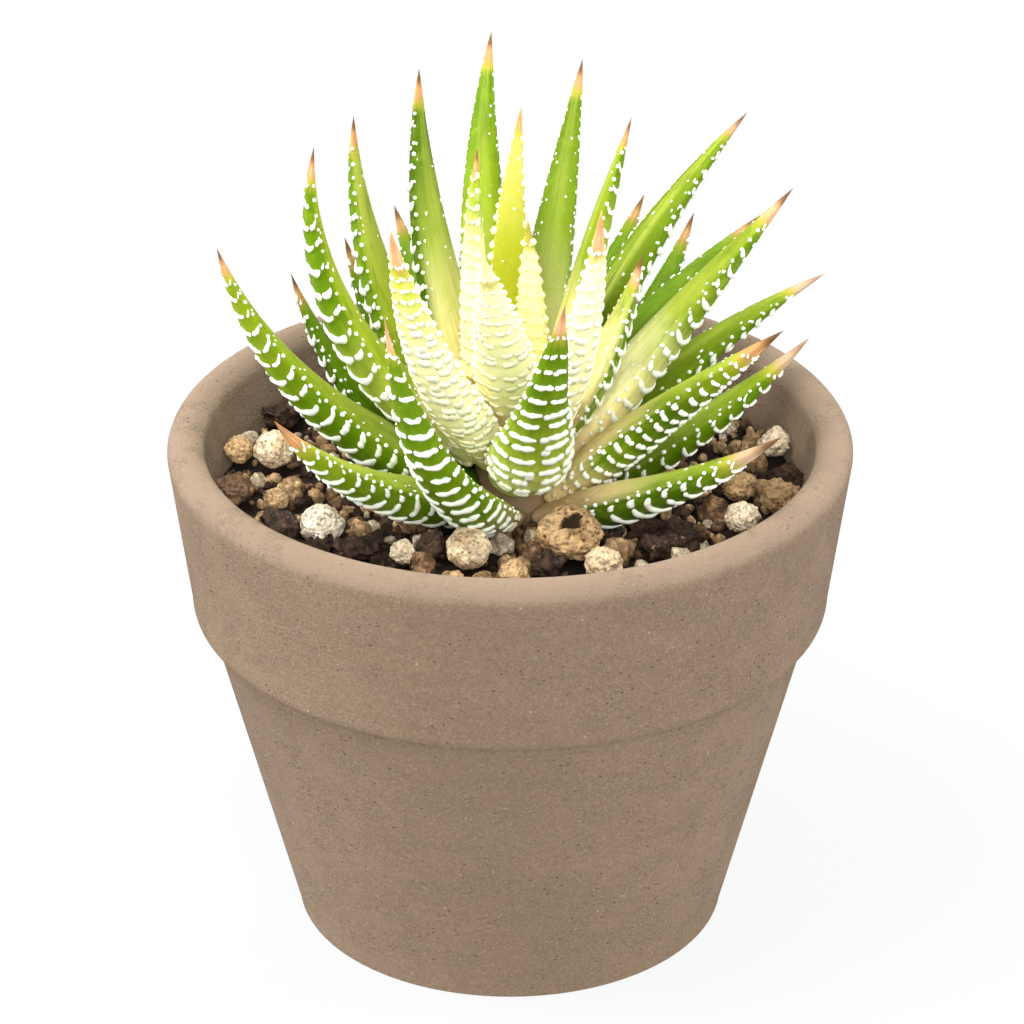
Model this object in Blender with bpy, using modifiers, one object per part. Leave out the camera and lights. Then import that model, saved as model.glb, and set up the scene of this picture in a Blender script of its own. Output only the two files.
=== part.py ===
"""Potted haworthia: a variegated zebra haworthia in a plain stoneware pot, filled with gritty mix.

The pot stands on the plane Z = 0 and its axis is the Z axis. The leaves grow from a short stem in
the middle, and loose stones and bark chips lie on the mix.
"""

import math
import random
from collections import namedtuple

import bmesh
import bpy
from mathutils import Matrix, Vector

MM = 0.001
CLEARANCE = 0.3 * MM

# Pot: radii are taken at the outer face, heights from the surface it stands on
POT_HEIGHT = 78 * MM
RIM_RADIUS = 50 * MM
RIM_THICKNESS = 5.5 * MM
SHOULDER_RADIUS = 47 * MM
SHOULDER_HEIGHT = 53 * MM
CREASE_RADIUS = 44.8 * MM
CREASE_HEIGHT = 50.3 * MM
SHOULDER_FULLNESS = 0.83
BASE_RADIUS = 32.1 * MM
BASE_ROUNDING = 2.6 * MM
BASE_ROUNDING_HEIGHT = 0.8 * MM
FLOOR_THICKNESS = 6 * MM
FLOOR_RADIUS = 29.2 * MM
FLOOR_CORNER = 3 * MM
DRAIN_RADIUS = 6 * MM
LIP_STEPS = 8
POT_STEPS = 56

# Mix: level ground with a shallow dip in which the rosette sits
MIX_LEVEL = 68.2 * MM
DIP_RADIUS = 21 * MM
DIP_FOOT_RADIUS = 8.2 * MM
DIP_DEPTH = 4.2 * MM
DIP_SLOPE_DEPTH = 1.8 * MM

# Stem: a blunt cone above the mix, over a tapering root crown
STEM_X = 1 * MM
STEM_LOW = 67.5 * MM
STEM_TOP = 86 * MM
STEM_LOW_RADIUS = 7 * MM
STEM_TOP_RADIUS = 3.2 * MM
STEM_DOME = 1.4 * MM
ROOT_DEPTH = 14 * MM
ROOT_MIDDLE_RADIUS = 5.6 * MM
ROOT_TIP_RADIUS = 2.4 * MM
ROOT_TIP_LENGTH = 1.4 * MM
STEM_STEPS = 24

# Leaf: where the sections stand along it, and the share of its width and thickness at the neck
LEAF_STATIONS = (0, 0.07, 0.16, 0.27, 0.39, 0.51, 0.63, 0.74, 0.84, 0.93)
LEAF_PATH_STEPS = 40
LEAF_SIDES = 8
NECK_LENGTH = 0.26
NECK_WIDTH = 0.38
NECK_THICKNESS = 0.42
FOOT_LENGTH = 2.2 * MM
FOOT_RISE = 45
UPPER_BULGE = 0.3
LOWER_BULGE = 0.7

# Each leaf: direction round the pot, rise above level at its foot and at its tip (degrees), length,
# width and thickness at its widest, height of its foot on the stem (mm), and sideways sweep (degrees)
Habit = namedtuple("Habit", "direction foot_rise tip_rise length width thickness foot_height sweep")
LEAVES = {
    "outer_leaf_01": (19, 44, 25, 50, 9, 5.8, 67, -12),
    "outer_leaf_02": (40, 38, 25, 49, 8.5, 5.1, 72.5, -7),
    "outer_leaf_03": (56, 23, 46, 48.5, 8, 4.8, 68, 10),
    "outer_leaf_04": (66, 29, 32, 48.5, 8, 4.8, 71, -4),
    "outer_leaf_05": (84, 17, 30, 46, 8.5, 5.1, 68.5, 12),
    "outer_leaf_06": (97, 17, 35, 47, 8.5, 5.1, 68, -22),
    "outer_leaf_07": (113, 25, 36, 46.5, 8, 4.8, 71, -8),
    "outer_leaf_08": (139, 30, 70, 41.5, 8, 4.8, 67.5, -4),
    "outer_leaf_09": (168, 30, 73, 43, 8, 4.8, 67, -6),
    "outer_leaf_10": (202, 24, 74, 60, 10.8, 7.6, 70, 8),
    "outer_leaf_11": (229, 18, 51, 52.5, 10, 6.8, 68, 11),
    "outer_leaf_12": (320, 22, 41, 49, 9.5, 6.5, 67, 13),
    "outer_leaf_13": (355, 27, 49, 44.5, 9.5, 6.1, 67, 1),
    "middle_leaf_01": (8, 52, 50, 53.5, 10.5, 6.9, 72, -1),
    "middle_leaf_02": (30, 65, 41, 55.5, 9, 5.6, 75.5, -5),
    "middle_leaf_03": (78, 38, 51, 61, 8.6, 5.3, 73.5, -5),
    "middle_leaf_04": (93, 44, 46, 63, 9, 5.6, 75.5, -24),
    "middle_leaf_05": (143, 62, 94, 57, 9.5, 6.1, 75, -1),
    "middle_leaf_06": (155, 46, 93, 57, 9.5, 6.3, 70.5, 3),
    "middle_leaf_07": (189, 30, 99, 57.5, 10.5, 7.1, 75.5, 0),
    "middle_leaf_08": (246, 22, 78, 67, 9.5, 6.3, 67.5, -15),
    "middle_leaf_09": (278, 40, 58, 61.5, 13, 7.2, 73, 1),
    "middle_leaf_10": (331, 44, 43, 49, 10, 6.8, 69.5, -4),
    "inner_leaf_01": (11, 78, 74, 48, 8, 5, 79, 1),
    "inner_leaf_02": (66, 87, 100, 33.5, 6, 3.7, 76.5, 2),
    "inner_leaf_03": (87, 56, 57, 45.5, 7, 4.2, 78, -20),
    "inner_leaf_04": (180, 83, 94, 41.5, 8, 5, 81, -1),
    "inner_leaf_05": (235, 45, 77, 51.5, 10.5, 6.5, 76, 2),
    "inner_leaf_06": (261, 56, 56, 46.5, 9.5, 5.7, 80.5, -3),
    "inner_leaf_07": (304, 55, 85, 46, 8, 5, 77.5, -1),
    "inner_leaf_08": (345, 56, 79, 34, 7.5, 4.7, 76.5, 1),
}

# Each loose stone: direction (degrees) and distance from the pot's axis, and mean radius (mm)
STONES = (
    (291, 23.4, 4.5),
    (257, 26.0, 3.5),
    (214, 32.4, 3.4),
    (170, 35.4, 3.3),
    (169, 40.9, 2.5),
    (188, 40.6, 2.7),
    (193, 34.9, 2.0),
    (336, 36.6, 2.9),
    (347, 40.2, 3.2),
    (352, 33.8, 2.7),
    (14, 40.2, 2.6),
    (294, 32.3, 3.0),
    (238, 28.8, 2.1),
    (271, 31.2, 2.4),
    (52, 38, 3.1),
    (84, 40, 3.3),
    (112, 36.5, 3.0),
    (128, 40.5, 2.6),
)
STONE_ROUGHNESS = 0.07
STONE_STRETCH = 0.04
STONE_FLATTENING = 0.88

# Each loose bark chip: direction and distance, length, width and thickness (mm), and turn (degrees)
BARK_CHIPS = (
    (226, 31, 8, 3.6, 3, 30),
    (281, 28.4, 5, 3.8, 3, 60),
    (242, 23.8, 4.6, 3.6, 2.6, 100),
    (317, 31.5, 8, 4.5, 3, 35),
    (148, 40, 6.5, 4, 3, 50),
    (205, 36.5, 7, 4.5, 3, 110),
    (70, 37, 7, 4, 2.8, 150),
    (99, 38.5, 6, 4.5, 2.6, 15),
)
BARK_EDGE = 0.5 * MM
BARK_UNEVENNESS = 0.5 * MM

STONEWARE = (0.35, 0.27, 0.21)
MIX = (0.09, 0.06, 0.045)
PUMICE = (0.62, 0.52, 0.38)
BARK = (0.06, 0.04, 0.035)
STEM_BEIGE = (0.55, 0.45, 0.28)
LEAF_GLOSS = 0.4
LEAF_GREEN = {
    "outer": (0.10, 0.22, 0.03),
    "middle": (0.18, 0.34, 0.04),
    "inner": (0.70, 0.74, 0.34),
}


def new_material(name, colour, roughness):
    material = bpy.data.materials.new(name)
    material.use_nodes = True
    shader = material.node_tree.nodes["Principled BSDF"]
    shader.inputs["Base Color"].default_value = (*colour, 1)
    shader.inputs["Roughness"].default_value = roughness
    shader.inputs["Metallic"].default_value = 0
    return material


def new_collection(name):
    collection = bpy.data.collections.new(name)
    bpy.context.scene.collection.children.link(collection)
    return collection


def add_object(name, mesh, collection, material=None):
    obj = bpy.data.objects.new(name, mesh)
    collection.objects.link(obj)
    if material:
        mesh.materials.append(material)
    return obj


def mesh_from_bmesh(name, bm):
    mesh = bpy.data.meshes.new(name)
    bmesh.ops.recalc_face_normals(bm, faces=bm.faces)
    bm.to_mesh(mesh)
    bm.free()
    mesh.shade_smooth()
    return mesh


def polar(direction, distance):
    angle = math.radians(direction)
    return Vector((distance * math.cos(angle), distance * math.sin(angle), 0))


def cubic_curve(start, pull_start, pull_end, end, count):
    """Points after the start of a cubic curve, the end among them."""
    points = []
    for i in range(1, count + 1):
        t = i / count
        u = 1 - t
        weights = (u**3, 3 * u * u * t, 3 * u * t * t, t**3)
        corners = (start, pull_start, pull_end, end)
        points.append(tuple(sum(w * c[axis] for w, c in zip(weights, corners)) for axis in (0, 1)))
    return points


def turned(name, profile, closed, steps, collection, material=None):
    """Turns a profile of (radius, height) points round the Z axis."""
    edges = [(i, i + 1) for i in range(len(profile) - 1)]
    if closed:
        edges.append((len(profile) - 1, 0))
    mesh = bpy.data.meshes.new(name)
    mesh.from_pydata([(radius, 0, height) for radius, height in profile], edges, [])
    obj = add_object(name, mesh, collection, material)
    screw = obj.modifiers.new("Turn", "SCREW")
    screw.axis = "Z"
    screw.angle = math.tau
    screw.steps = steps
    screw.render_steps = steps
    screw.use_merge_vertices = True
    screw.merge_threshold = 0.00001
    screw.use_smooth_shade = True
    return obj


def pot_inner_radius(height):
    """The inner wall is one straight taper from the floor up to the rounded lip."""
    lip_low = POT_HEIGHT - RIM_THICKNESS / 2
    lip_radius = RIM_RADIUS - RIM_THICKNESS
    slope = (lip_radius - FLOOR_RADIUS) / (lip_low - FLOOR_THICKNESS)
    return FLOOR_RADIUS + (height - FLOOR_THICKNESS) * slope


def pot_profile():
    """Closed profile: down the outside, in under the foot, up the drain hole, and up the inside."""
    lip = RIM_THICKNESS / 2
    lip_low = POT_HEIGHT - lip
    profile = []
    for i in range(LIP_STEPS + 1):
        angle = math.pi * i / LIP_STEPS
        profile.append((RIM_RADIUS - lip + lip * math.cos(angle), lip_low + lip * math.sin(angle)))
    profile.reverse()
    shoulder = (SHOULDER_RADIUS, SHOULDER_HEIGHT)
    crease = (CREASE_RADIUS, CREASE_HEIGHT)
    drop = SHOULDER_FULLNESS * (SHOULDER_HEIGHT - CREASE_HEIGHT)
    spread = SHOULDER_FULLNESS * (SHOULDER_RADIUS - CREASE_RADIUS)
    shoulder_pull = (SHOULDER_RADIUS, SHOULDER_HEIGHT - drop)
    crease_pull = (CREASE_RADIUS + spread, CREASE_HEIGHT)
    profile.append(shoulder)
    profile += cubic_curve(shoulder, shoulder_pull, crease_pull, crease, 5)
    wall_foot = (BASE_RADIUS, BASE_ROUNDING_HEIGHT)
    foot_corner = (BASE_RADIUS, 0)
    foot_edge = (BASE_RADIUS - BASE_ROUNDING, 0)
    profile.append(wall_foot)
    profile += cubic_curve(wall_foot, foot_corner, foot_corner, foot_edge, 3)
    profile.append((DRAIN_RADIUS, 0))
    profile.append((DRAIN_RADIUS, FLOOR_THICKNESS))
    floor_edge = (FLOOR_RADIUS - FLOOR_CORNER, FLOOR_THICKNESS)
    wall_start = (pot_inner_radius(FLOOR_THICKNESS + FLOOR_CORNER), FLOOR_THICKNESS + FLOOR_CORNER)
    profile.append(floor_edge)
    profile += cubic_curve(floor_edge, (FLOOR_RADIUS, FLOOR_THICKNESS), wall_start, wall_start, 3)
    return profile


def make_pot(parts):
    material = new_material("stoneware", STONEWARE, 0.85)
    turned("pot", pot_profile(), True, POT_STEPS, parts, material)


def stem_radius(height):
    share = min(max((height - STEM_LOW) / (STEM_TOP - STEM_LOW), 0), 1)
    return STEM_LOW_RADIUS + (STEM_TOP_RADIUS - STEM_LOW_RADIUS) * share


def stem_profile(spare):
    """Open profile from the apex down to the root's tip, grown outwards by spare."""
    root_low = STEM_LOW - ROOT_DEPTH
    slant = math.sqrt(0.5)
    return [
        (0, STEM_TOP + STEM_DOME + spare),
        (STEM_TOP_RADIUS * slant + spare, STEM_TOP + STEM_DOME * slant),
        (STEM_TOP_RADIUS + spare, STEM_TOP),
        (STEM_LOW_RADIUS + spare, STEM_LOW),
        (ROOT_MIDDLE_RADIUS + spare, (STEM_LOW + root_low) / 2),
        (ROOT_TIP_RADIUS + spare, root_low),
        (0, root_low - ROOT_TIP_LENGTH - spare),
    ]


def make_stem(parts, cutters):
    """The stem, and the slightly larger body that trims the foot of every leaf to fit it."""
    material = new_material("stem_beige", STEM_BEIGE, 0.6)
    stem = turned("stem", stem_profile(0), False, STEM_STEPS, parts, material)
    stem.location.x = STEM_X
    trimmer = turned("stem_clearance", stem_profile(CLEARANCE), False, STEM_STEPS, cutters)
    trimmer.location.x = STEM_X
    trimmer.hide_render = True
    trimmer.display_type = "WIRE"
    return trimmer


def make_potting_mix(parts, trimmer):
    """The mix fills the pot up to its level, with a pit in the dip where the root crown sits."""
    wall = pot_inner_radius(MIX_LEVEL) - CLEARANCE
    corner = FLOOR_CORNER + 2 * CLEARANCE
    corner_height = FLOOR_THICKNESS + corner
    profile = [
        (0, MIX_LEVEL - DIP_DEPTH),
        (DIP_FOOT_RADIUS, MIX_LEVEL - DIP_DEPTH),
        ((DIP_FOOT_RADIUS + DIP_RADIUS) / 2, MIX_LEVEL - DIP_SLOPE_DEPTH),
        (DIP_RADIUS, MIX_LEVEL),
        ((DIP_RADIUS + wall) / 2, MIX_LEVEL),
        (wall, MIX_LEVEL),
        (pot_inner_radius(corner_height) - CLEARANCE, corner_height),
        (FLOOR_RADIUS - corner, FLOOR_THICKNESS + CLEARANCE),
        (0, FLOOR_THICKNESS + CLEARANCE),
    ]
    mix = turned("potting_mix", profile, False, POT_STEPS, parts, new_material("gritty_mix", MIX, 0.95))
    cut = mix.modifiers.new("Root pit", "BOOLEAN")
    cut.operation = "DIFFERENCE"
    cut.solver = "EXACT"
    cut.object = trimmer


def leaf_frames(habit):
    """Places along a leaf: (share of its length, point, axis, sideways axis, upper face's axis)."""
    foot_height = habit.foot_height * MM
    heading = habit.direction - habit.sweep / 2
    point = polar(heading, stem_radius(foot_height) + CLEARANCE) + Vector((STEM_X, 0, foot_height))
    step = habit.length * MM / LEAF_PATH_STEPS
    frames = []
    for i in range(LEAF_PATH_STEPS + 1):
        share = i / LEAF_PATH_STEPS
        rise = math.radians(habit.foot_rise + (habit.tip_rise - habit.foot_rise) * share)
        turn = math.radians(habit.direction + habit.sweep * (share - 0.5))
        axis = Vector((math.cos(rise) * math.cos(turn), math.cos(rise) * math.sin(turn), math.sin(rise)))
        side = Vector((-math.sin(turn), math.cos(turn), 0))
        if frames:
            point = point + (frames[-1][2] + axis).normalized() * step
        frames.append((share, point, axis, side, axis.cross(side)))
    return frames


def swell(share):
    """Rises smoothly from 0 at the neck to 1 where the leaf has its full girth."""
    t = min(share / NECK_LENGTH, 1)
    return t * t * (3 - 2 * t)


def leaf_section(habit, share):
    """Outline of (sideways, upwards) points: nearly flat above, full and keeled below."""
    taper = 1 - share**2
    half = habit.width * MM / 2 * taper * (NECK_WIDTH + (1 - NECK_WIDTH) * swell(share))
    depth = habit.thickness * MM * taper * (NECK_THICKNESS + (1 - NECK_THICKNESS) * swell(share))
    edge = (0.5 - UPPER_BULGE) * depth
    outline = []
    for i in range(LEAF_SIDES):
        angle = math.tau * i / LEAF_SIDES
        bulge = UPPER_BULGE if math.sin(angle) > 0 else LOWER_BULGE
        outline.append((half * math.cos(angle), edge + bulge * depth * math.sin(angle)))
    return outline


def leaf_mesh(name, habit):
    """A loft through the leaf's sections, closed by a foot inside the stem and a pointed tip."""
    frames = leaf_frames(habit)
    bm = bmesh.new()
    rings = []
    for station in LEAF_STATIONS:
        share, point, axis, side, upper = frames[round(station * LEAF_PATH_STEPS)]
        outline = leaf_section(habit, share)
        rings.append([bm.verts.new(point + side * x + upper * y) for x, y in outline])
    inward = math.radians(min(habit.foot_rise, FOOT_RISE))
    heading = habit.direction - habit.sweep / 2
    foot_shift = polar(heading, FOOT_LENGTH * math.cos(inward))
    foot_shift.z = FOOT_LENGTH * math.sin(inward)
    rings.insert(0, [bm.verts.new(v.co - foot_shift) for v in rings[0]])
    tip = bm.verts.new(frames[-1][1])
    for near, far in zip(rings, rings[1:]):
        for i in range(LEAF_SIDES):
            j = (i + 1) % LEAF_SIDES
            bm.faces.new((near[i], near[j], far[j], far[i]))
    for i in range(LEAF_SIDES):
        bm.faces.new((rings[-1][i], rings[-1][(i + 1) % LEAF_SIDES], tip))
    bm.faces.new(rings[0])
    return mesh_from_bmesh(name, bm)


def make_leaves(parts, trimmer):
    materials = {}
    for whorl, colour in LEAF_GREEN.items():
        materials[whorl] = new_material(f"{whorl}_leaf_skin", colour, LEAF_GLOSS)
    for name, values in LEAVES.items():
        whorl = name.split("_")[0]
        leaf = add_object(name, leaf_mesh(name, Habit(*values)), parts, materials[whorl])
        trim = leaf.modifiers.new("Trim to the stem", "BOOLEAN")
        trim.operation = "DIFFERENCE"
        trim.solver = "EXACT"
        trim.object = trimmer


def rest_on_mix(bm):
    """Lifts or lowers a loose piece so that it just clears the level mix."""
    lowest = min(v.co.z for v in bm.verts)
    bmesh.ops.translate(bm, verts=bm.verts, vec=(0, 0, MIX_LEVEL + CLEARANCE - lowest))


def make_stones(parts):
    material = new_material("pumice", PUMICE, 0.9)
    chance = random.Random(7)
    for number, (direction, distance, radius) in enumerate(STONES, 1):
        bm = bmesh.new()
        bmesh.ops.create_icosphere(bm, subdivisions=2, radius=radius * MM)
        for vertex in bm.verts:
            vertex.co *= 1 - STONE_ROUGHNESS * chance.random()
        stretch = chance.uniform(-STONE_STRETCH, STONE_STRETCH)
        scale = Matrix.Diagonal((1 + stretch, 1 - stretch, STONE_FLATTENING, 1))
        turn = Matrix.Rotation(chance.uniform(0, math.tau), 4, "Z")
        bmesh.ops.transform(bm, matrix=turn @ scale, verts=bm.verts)
        bmesh.ops.translate(bm, verts=bm.verts, vec=polar(direction, distance * MM))
        rest_on_mix(bm)
        name = f"pumice_stone_{number:02d}"
        add_object(name, mesh_from_bmesh(name, bm), parts, material)


def make_bark(parts):
    material = new_material("bark", BARK, 0.9)
    chance = random.Random(11)
    for number, (direction, distance, length, width, thickness, turn) in enumerate(BARK_CHIPS, 1):
        bm = bmesh.new()
        bmesh.ops.create_cube(bm, size=1)
        bmesh.ops.scale(bm, vec=(length * MM, width * MM, thickness * MM), verts=bm.verts)
        for vertex in bm.verts:
            vertex.co += Vector(chance.uniform(-1, 0) * c for c in vertex.co.normalized()) * BARK_UNEVENNESS
        bmesh.ops.bevel(
            bm, geom=bm.edges, offset=BARK_EDGE, segments=1, profile=0.5, affect="EDGES", material=-1
        )
        bmesh.ops.rotate(bm, verts=bm.verts, matrix=Matrix.Rotation(math.radians(turn), 3, "Z"))
        bmesh.ops.translate(bm, verts=bm.verts, vec=polar(direction, distance * MM))
        rest_on_mix(bm)
        name = f"bark_chip_{number:02d}"
        add_object(name, mesh_from_bmesh(name, bm), parts, material)


def main():
    for obj in list(bpy.data.objects):
        bpy.data.objects.remove(obj)
    parts = new_collection("potted_haworthia")
    cutters = new_collection("cutters")
    make_pot(parts)
    trimmer = make_stem(parts, cutters)
    make_potting_mix(parts, trimmer)
    make_leaves(parts, trimmer)
    make_stones(parts)
    make_bark(parts)


main()
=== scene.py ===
"""Potted haworthia: the looks of a striped, variegated rosette in gritty mix in a stoneware pot."""

import math
import random

import bmesh
import bpy
import numpy as np
from mathutils import Matrix, Vector, noise


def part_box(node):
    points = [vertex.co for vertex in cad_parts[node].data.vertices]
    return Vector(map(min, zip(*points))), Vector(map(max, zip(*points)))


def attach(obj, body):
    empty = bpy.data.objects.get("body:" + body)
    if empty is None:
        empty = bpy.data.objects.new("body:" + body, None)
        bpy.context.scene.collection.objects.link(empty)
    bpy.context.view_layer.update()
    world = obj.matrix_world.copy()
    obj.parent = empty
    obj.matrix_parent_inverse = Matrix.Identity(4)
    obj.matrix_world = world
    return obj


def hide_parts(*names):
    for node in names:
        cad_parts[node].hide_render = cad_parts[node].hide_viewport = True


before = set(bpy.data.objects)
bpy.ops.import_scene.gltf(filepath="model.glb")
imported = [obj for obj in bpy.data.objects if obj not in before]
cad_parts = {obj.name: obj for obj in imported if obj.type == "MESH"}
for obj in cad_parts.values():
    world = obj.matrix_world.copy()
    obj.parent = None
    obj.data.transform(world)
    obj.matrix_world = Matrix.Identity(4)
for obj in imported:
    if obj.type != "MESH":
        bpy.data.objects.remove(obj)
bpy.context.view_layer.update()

# Stage: a pale sweep that glows like a light table, under soft light that falls mostly from above and
# from the left. The camera stands about 0.7 m off and looks down on the pot, as from a chair.
CAMERA_HEIGHT_ANGLE = math.radians(27.43)
CAMERA_DISTANCE = 0.7159
AIM_HEIGHT = 0.06407
LENS = 171.1
SENSOR_WIDTH = 36
FRAMING_SHIFT = 0.0018
FLOOR_HALF_SIZE = 6
FLOOR_GREY = 0.05
FLOOR_GLOW = 0.89
LIGHT_AIM = Vector((0, 0, 0.07))
ROOM_WALLS = 0.2
ROOM_CEILING = 1.0


class Wire:
    """A socket of a material's nodes. Sums on it add Math nodes, and node() adds any other kind."""

    def __init__(self, tree, socket=None):
        self.tree = tree
        self.socket = socket

    def node(self, kind, settings, sockets, out=0):
        made = self.tree.nodes.new(kind)
        for name, value in settings.items():
            setattr(made, name, value)
        for name, value in sockets.items():
            if isinstance(value, Wire):
                self.tree.links.new(value.socket, made.inputs[name])
            elif isinstance(value, tuple) and made.inputs[name].type == "RGBA":
                made.inputs[name].default_value = (*value, 1)
            else:
                made.inputs[name].default_value = value
        return Wire(self.tree, made.outputs[out])

    def sum(self, operation, first, second):
        return self.node("ShaderNodeMath", {"operation": operation}, {0: first, 1: second})

    def __add__(self, other):
        return self.sum("ADD", self, other)

    def __sub__(self, other):
        return self.sum("SUBTRACT", self, other)

    def __rsub__(self, other):
        return self.sum("SUBTRACT", other, self)

    def __mul__(self, other):
        return self.sum("MULTIPLY", self, other)

    __radd__, __rmul__ = __add__, __mul__

    def step(self, low, high):
        """Rises smoothly from 0 at low to 1 at high."""
        ends = {"Value": self, "From Min": low, "From Max": high}
        return self.node("ShaderNodeMapRange", {"interpolation_type": "SMOOTHSTEP"}, ends)

    def between(self, first, second):
        """A colour between two, where this wire is 0 and 1."""
        ends = {0: self, 6: first, 7: second}
        return self.node("ShaderNodeMix", {"data_type": "RGBA"}, ends, 2)

    def run(self, stops, colours):
        """A run of colours, each where this wire reaches its stop."""
        wire = self.node("ShaderNodeValToRGB", {}, {"Fac": self})
        elements = wire.socket.node.color_ramp.elements
        while len(elements) < len(stops):
            elements.new(1)
        for element, stop, colour in zip(elements, stops, colours):
            element.position = stop
            element.color = (*colour, 1)
        return wire

    def scaled(self, size):
        """Coordinates scaled along each axis."""
        return self.node("ShaderNodeVectorMath", {"operation": "MULTIPLY"}, {0: self, 1: size})

    def height(self):
        return self.node("ShaderNodeSeparateXYZ", {}, {0: self}, 2)

    def cloud(self, scale, detail=3, roughness=0.55):
        """Noise over these coordinates, from 0 to 1."""
        sockets = {"Vector": self, "Scale": scale, "Detail": detail, "Roughness": roughness}
        return self.node("ShaderNodeTexNoise", {}, sockets)

    def cells(self, scale):
        """Distance to the nearest of many scattered points."""
        return self.node("ShaderNodeTexVoronoi", {}, {"Vector": self, "Scale": scale}, "Distance")

    def layer(self, name):
        """A value that the mesh holds at each of its vertices."""
        return self.node("ShaderNodeAttribute", {"attribute_name": name}, {}, "Fac")


def new_finish(name, roughness, **constants):
    """A material, its shader, and a wire of the piece's own coordinates. Constants set other sockets."""
    material = bpy.data.materials.new(name)
    material.use_nodes = True
    tree = material.node_tree
    shader = tree.nodes["Principled BSDF"]
    shader.inputs["Roughness"].default_value = roughness
    for socket, value in constants.items():
        shader.inputs[socket.replace("_", " ")].default_value = value
    here = Wire(tree).node("ShaderNodeTexCoord", {}, {}, "Object")
    return material, shader, here


def connect(shader, socket, wire):
    wire.tree.links.new(wire.socket, shader.inputs[socket])


def finished_mesh(bm, name):
    mesh = bpy.data.meshes.new(name)
    bm.to_mesh(mesh)
    bm.free()
    return mesh


def new_object(name, data):
    made = bpy.data.objects.new(name, data)
    bpy.context.scene.collection.objects.link(made)
    return made


def plain_floor():
    bm = bmesh.new()
    bmesh.ops.create_grid(bm, x_segments=1, y_segments=1, size=FLOOR_HALF_SIZE)
    mesh = finished_mesh(bm, "floor")
    material, *_ = new_finish(
        "pale_floor",
        0.9,
        Base_Color=(FLOOR_GREY, FLOOR_GREY, FLOOR_GREY, 1),
        Specular_IOR_Level=0,
        Emission_Color=(1, 1, 1, 1),
        Emission_Strength=FLOOR_GLOW,
    )
    mesh.materials.append(material)
    return new_object("floor", mesh)


def softbox(name, place, size, power):
    lamp = bpy.data.lights.new(name, "AREA")
    lamp.shape = "DISK"
    lamp.size = size
    lamp.energy = power
    light = new_object(name, lamp)
    light.location = place
    light.rotation_euler = (LIGHT_AIM - light.location).to_track_quat("-Z", "Y").to_euler()


def pale_room():
    """Light from all round: dim at the walls, and brighter towards the ceiling."""
    room = bpy.data.worlds.new("room")
    room.use_nodes = True
    up = Wire(room.node_tree).node("ShaderNodeTexCoord", {}, {}, "Generated").height()
    ends = {"Value": up, "To Min": ROOM_WALLS, "To Max": ROOM_CEILING}
    brightness = up.node("ShaderNodeMapRange", {}, ends)
    background = room.node_tree.nodes["Background"]
    background.inputs["Color"].default_value = (1, 1, 1, 1)
    connect(background, "Strength", brightness)
    return room


def set_camera():
    data = bpy.data.cameras.new("camera")
    data.lens = LENS
    data.sensor_width = SENSOR_WIDTH
    data.shift_x = FRAMING_SHIFT
    camera = new_object("camera", data)
    reach = CAMERA_DISTANCE * math.cos(CAMERA_HEIGHT_ANGLE)
    camera.location = (0, -reach, AIM_HEIGHT + CAMERA_DISTANCE * math.sin(CAMERA_HEIGHT_ANGLE))
    camera.rotation_euler = (math.pi / 2 - CAMERA_HEIGHT_ANGLE, 0, 0)
    bpy.context.scene.camera = camera


plain_floor()
softbox("key", (-0.4, -0.33, 1.2), 0.6, 13.2)
softbox("front", (0.1, -1.0, 0.55), 0.8, 11.5)
softbox("left", (-0.9, 0.1, 0.4), 0.7, 10.5)
softbox("right", (0.9, -0.05, 0.45), 0.7, 5.2)
softbox("back", (0.1, 0.9, 0.7), 0.8, 5.0)
bpy.context.scene.world = pale_room()
bpy.context.scene.view_settings.view_transform = "Standard"
set_camera()


# Pot: unglazed stoneware, thrown on a wheel, with a wide band below its rounded lip and a soft crease
# where the band meets the tapered body. The clay shows fine dark and pale specks and faint turning lines.
MM = 0.001
RIM_THICKNESS = 5.5 * MM
SHOULDER_RADIUS = 47 * MM
SHOULDER_HEIGHT = 53 * MM
CREASE_RADIUS = 44.8 * MM
CREASE_HEIGHT = 50.3 * MM
SHOULDER_FULLNESS = 0.83
BASE_RADIUS = 32.1 * MM
BASE_ROUNDING = 2.6 * MM
BASE_ROUNDING_HEIGHT = 0.8 * MM
POT_FLOOR = 6 * MM
POT_FLOOR_RADIUS = 29.2 * MM
POT_FLOOR_CORNER = 3 * MM
DRAIN_RADIUS = 6 * MM
LIP_STEPS = 20
POT_STEPS = 180
WELD = 0.001 * MM
CLAY = (0.206, 0.144, 0.096)
CLAY_DARK = (0.166, 0.115, 0.074)
CLAY_PALE = (0.29, 0.213, 0.15)
CLAY_SAND = (0.125, 0.085, 0.055)
CLAY_PIT = (0.06, 0.04, 0.025)
CLAY_FLECK = (0.45, 0.36, 0.28)
# Painted shade: a greyer, darker line laid along the crease under the band, where shade falls, and its width.
CLAY_CREASE_SHADE = (0.13, 0.1, 0.08)
CREASE_SHADE_WIDTH = 0.35 * MM
# How far down the top of the lip is painted paler: painted light falling on it from above, with some wear.
LIP_LIGHT_AND_WEAR = 3.5 * MM


def coated(body, *coats):
    """A colour with coats laid over it, each given as how much of it shows and its own colour."""
    for share, colour in coats:
        body = share.between(body, colour)
    return body


def shade(colour, share):
    return tuple(min(1, c * share) for c in colour)


def dress(shader, body, relief, strength, depth):
    """Gives a shader its colour and its fine relief."""
    connect(shader, "Base Color", body)
    bump = relief.node("ShaderNodeBump", {}, {"Strength": strength, "Distance": depth, "Height": relief})
    connect(shader, "Normal", bump)


def new_piece(name, bm, *materials):
    """A smooth-shaded piece of the object, made of the mesh."""
    mesh = finished_mesh(bm, name)
    mesh.shade_smooth()
    for material in materials:
        mesh.materials.append(material)
    piece = new_object(name, mesh)
    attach(piece, "root")
    return piece


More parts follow.
